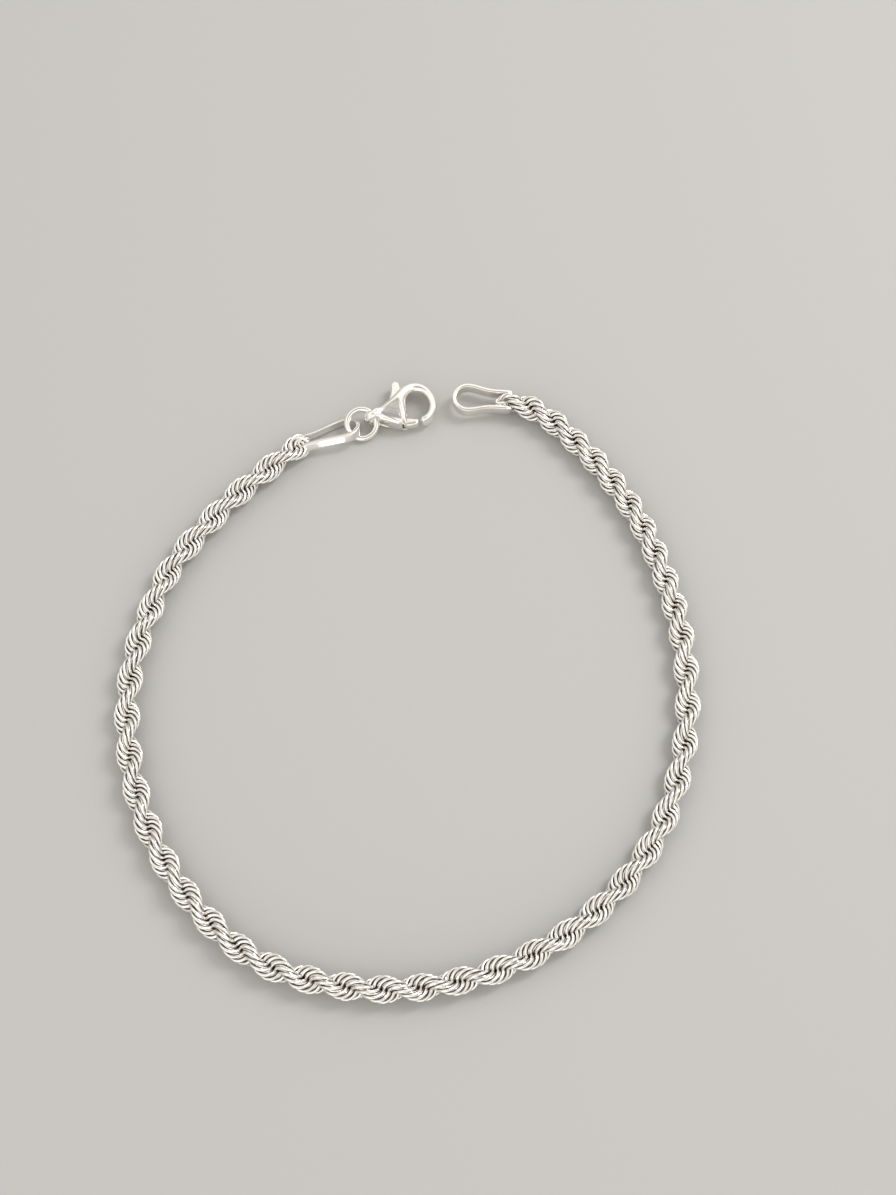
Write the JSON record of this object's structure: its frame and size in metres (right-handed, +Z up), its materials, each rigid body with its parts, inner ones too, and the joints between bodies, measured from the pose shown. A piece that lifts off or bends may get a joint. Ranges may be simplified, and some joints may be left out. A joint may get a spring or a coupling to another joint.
{
  "type": "rope chain bracelet",
  "caption": "Open silver rope chain bracelet: a twisted two-strand chain with strip end loops, a jump ring and a lobster clasp with a sprung lever.",
  "frame": {"origin": "on the surface the bracelet lies on, under the middle of its box", "axes": "+Z up from the surface; +Y from the bottom of the loop towards the clasp; +X to the right, towards the tail loop's side"},
  "size_m": [0.0646, 0.0728, 0.003],
  "materials": {
    "chain_silver": "polished sterling silver wire, drawn and soldered into rings",
    "strip_silver": "polished sterling silver strip with faint drawing lines",
    "wire_silver": "polished sterling silver round wire",
    "cast_silver": "cast and tumbled sterling silver",
    "rivet_silver": "filed flush, slightly duller silver"
  },
  "bodies": {
    "bracelet": {"rope_chain": "chain_silver", "clasp_end_loop": "strip_silver", "tail_end_loop": "strip_silver", "jump_ring": "wire_silver", "clasp_body": "cast_silver", "clasp_rivet": "rivet_silver"},
    "lever": {"clasp_lever": "cast_silver"}
  },
  "joints": [
    {"name": "lever_hinge", "type": "hinge", "parent": "bracelet", "child": "lever", "pos_m": [-0.00157, 0.03144, 0.00135], "axis": [0, 0, 1], "range_deg": [0, 28], "stiffness_Nm_per_rad": 0.004}
  ]
}
